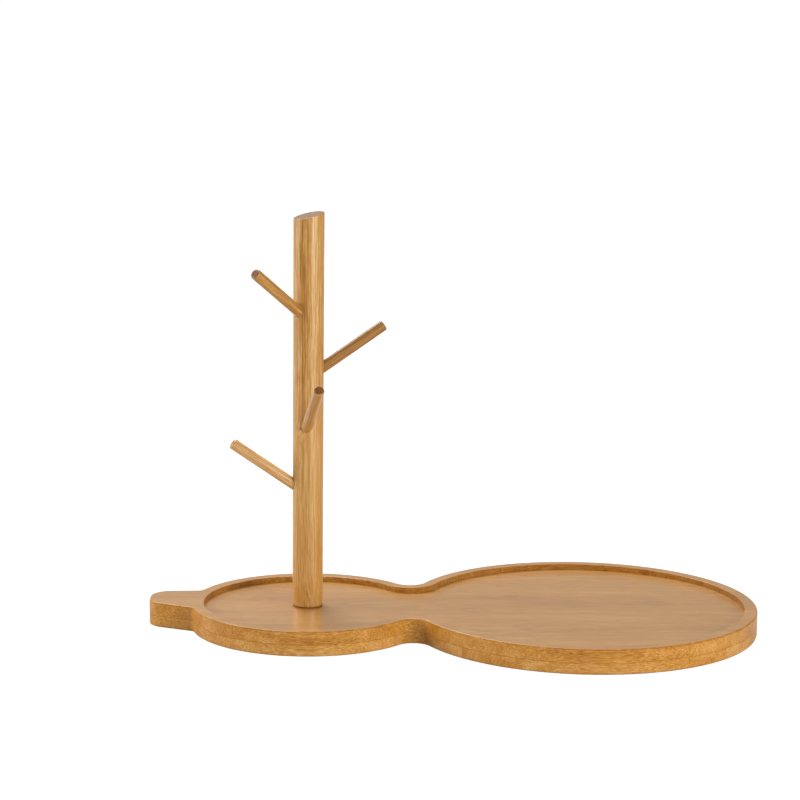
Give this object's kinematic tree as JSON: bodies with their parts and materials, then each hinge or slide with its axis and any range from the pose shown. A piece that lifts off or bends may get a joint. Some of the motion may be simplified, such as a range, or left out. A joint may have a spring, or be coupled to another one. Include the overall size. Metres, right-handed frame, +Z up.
{
  "type": "mug tree",
  "caption": "Bamboo mug tree: round post with slanted pegs standing at the small lobe of a gourd-shaped tray with a shallow recess.",
  "frame": {"origin": "on the table surface, under the middle of the tray's length, on the line through the two lobe centres", "axes": "+X along the tray's length towards the big lobe, +Y to the back, away from the viewer, +Z up along the post"},
  "size_m": [0.29, 0.1664, 0.1973],
  "materials": {
    "tray_bamboo_upper": "semi-gloss clear lacquer on laminated bamboo",
    "tray_bamboo_lower": "semi-gloss clear lacquer on laminated bamboo",
    "post_bamboo": "semi-gloss clear lacquer on laminated bamboo",
    "peg_bamboo": "semi-gloss clear lacquer on bamboo dowel",
    "screw_steel": "zinc plated"
  },
  "bodies": {
    "root": {"tray_lower_ply": "tray_bamboo_lower", "tray_upper_ply": "tray_bamboo_upper", "post": "post_bamboo", "peg_top_left": "peg_bamboo", "peg_right": "peg_bamboo", "peg_front": "peg_bamboo", "peg_low_left": "peg_bamboo", "fixing_screw": "screw_steel"}
  },
  "joints": []
}
